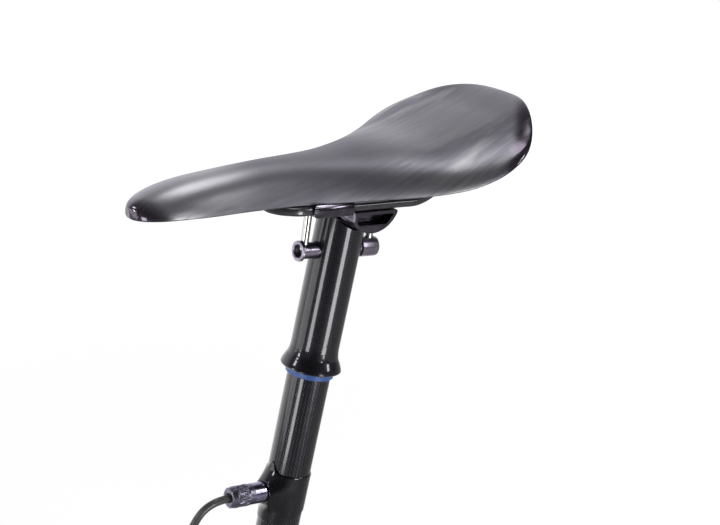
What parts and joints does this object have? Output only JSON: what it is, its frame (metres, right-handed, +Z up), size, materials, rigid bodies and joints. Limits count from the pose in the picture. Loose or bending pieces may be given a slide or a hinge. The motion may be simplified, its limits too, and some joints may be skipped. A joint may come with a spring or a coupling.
{
  "type": "bicycle saddle with telescopic seat post",
  "caption": "Slim bicycle saddle on carbon rails, clamped by a twin-bolt head to a cable-operated telescopic seat post.",
  "frame": {"origin": "centre of the flat face at the mast's foot, the end that goes into a bicycle frame's seat tube", "axes": "+X towards the saddle's nose, +Y to the rider's left, +Z up; the post leans back by 14.75 degrees"},
  "size_m": [0.2761, 0.1314, 0.3887],
  "materials": {
    "tube_carbon": "clear-coated carbon twill",
    "rail_carbon": "satin carbon",
    "shell_silver": "satin silver fibre under clear coat",
    "dark_alloy": "dark grey anodised",
    "plain_alloy": "plain",
    "bolt_steel": "bright",
    "blue_seal": "satin blue",
    "bush_plastic": "plain",
    "stop_rubber": "matte",
    "housing_plastic": "satin dark olive grey",
    "tie_webbing": "woven"
  },
  "bodies": {
    "mast": {"mast_tube": "tube_carbon", "foot_plug": "dark_alloy", "spring_rod": "dark_alloy", "main_spring": "bolt_steel", "cable_lug": "tube_carbon", "lower_guide_bush": "dark_alloy", "upper_guide_bush": "bush_plastic", "guide_key": "bolt_steel", "lug_ferrule": "dark_alloy", "cable_housing": "housing_plastic", "housing_coil": "housing_plastic", "end_ferrule": "plain_alloy", "wire_tail": "bolt_steel", "coil_tie": "tie_webbing"},
    "adjuster": {"barrel_adjuster": "dark_alloy"},
    "lock": {"lock_pin": "bolt_steel", "lock_wire": "bolt_steel", "lock_spring": "bolt_steel"},
    "upper_post": {"outer_tube": "tube_carbon", "wiper_seal": "blue_seal", "collar_bush": "bush_plastic", "bump_stop": "stop_rubber", "head_plug": "dark_alloy", "guide_tube": "plain_alloy", "spring_pusher": "dark_alloy", "cross_tube": "dark_alloy", "front_nut": "dark_alloy", "rear_nut": "dark_alloy"},
    "front_washer_body": {"front_washer": "bolt_steel"},
    "rear_washer_body": {"rear_washer": "bolt_steel"},
    "front_bolt_body": {"front_bolt": "bolt_steel"},
    "rear_bolt_body": {"rear_bolt": "bolt_steel"},
    "clamp": {"lower_cradle": "dark_alloy", "front_yoke": "dark_alloy", "rear_yoke": "dark_alloy"},
    "saddle": {"saddle_shell": "shell_silver", "left_rail": "rail_carbon", "right_rail": "rail_carbon", "nose_socket": "rail_carbon", "left_rear_socket": "rail_carbon", "right_rear_socket": "rail_carbon"}
  },
  "joints": [
    {"name": "post_slide", "type": "slide", "parent": "mast", "child": "upper_post", "axis": [0.2546, 0, -0.967], "range_m": [0, 0.055], "stiffness_N_per_m": 400, "springref_m": -0.08, "deforming": ["main_spring"]},
    {"name": "lock_slide", "type": "slide", "parent": "mast", "child": "lock", "axis": [-0.982, 0, -0.1891], "range_m": [0, 0.0035], "deforming": ["lock_spring"]},
    {"name": "adjuster_turn", "type": "hinge", "parent": "mast", "child": "adjuster", "pos_m": [-0.00383, 0, 0.16306], "axis": [0.982, 0, 0.1891], "continuous": true},
    {"name": "saddle_tilt", "type": "hinge", "parent": "upper_post", "child": "clamp", "pos_m": [-0.09177, 0, 0.34154], "axis": [0, 1, 0], "range_deg": [-6, 6]},
    {"name": "front_washer_slide", "type": "slide", "parent": "upper_post", "child": "front_washer_body", "axis": [-0.1771, 0, 0.9842], "range_m": [-0.0031, 0.0031]},
    {"name": "rear_washer_slide", "type": "slide", "parent": "upper_post", "child": "rear_washer_body", "axis": [-0.1771, 0, 0.9842], "range_m": [-0.0023, 0.0023]},
    {"name": "front_bolt_turn", "type": "hinge", "parent": "front_washer_body", "child": "front_bolt_body", "pos_m": [-0.05809, 0, 0.31305], "axis": [-0.1771, 0, 0.9842], "continuous": true},
    {"name": "rear_bolt_turn", "type": "hinge", "parent": "rear_washer_body", "child": "rear_bolt_body", "pos_m": [-0.10543, 0, 0.30454], "axis": [-0.1771, 0, 0.9842], "continuous": true},
    {"name": "saddle_slide", "type": "slide", "parent": "clamp", "child": "saddle", "axis": [0.9893, 0, 0.1461], "range_m": [-0.002, 0.005]}
  ],
  "couplings": [
    {"joint": "front_washer_slide", "follows": "saddle_tilt", "m_per_rad": -0.0281},
    {"joint": "rear_washer_slide", "follows": "saddle_tilt", "m_per_rad": 0.02}
  ]
}
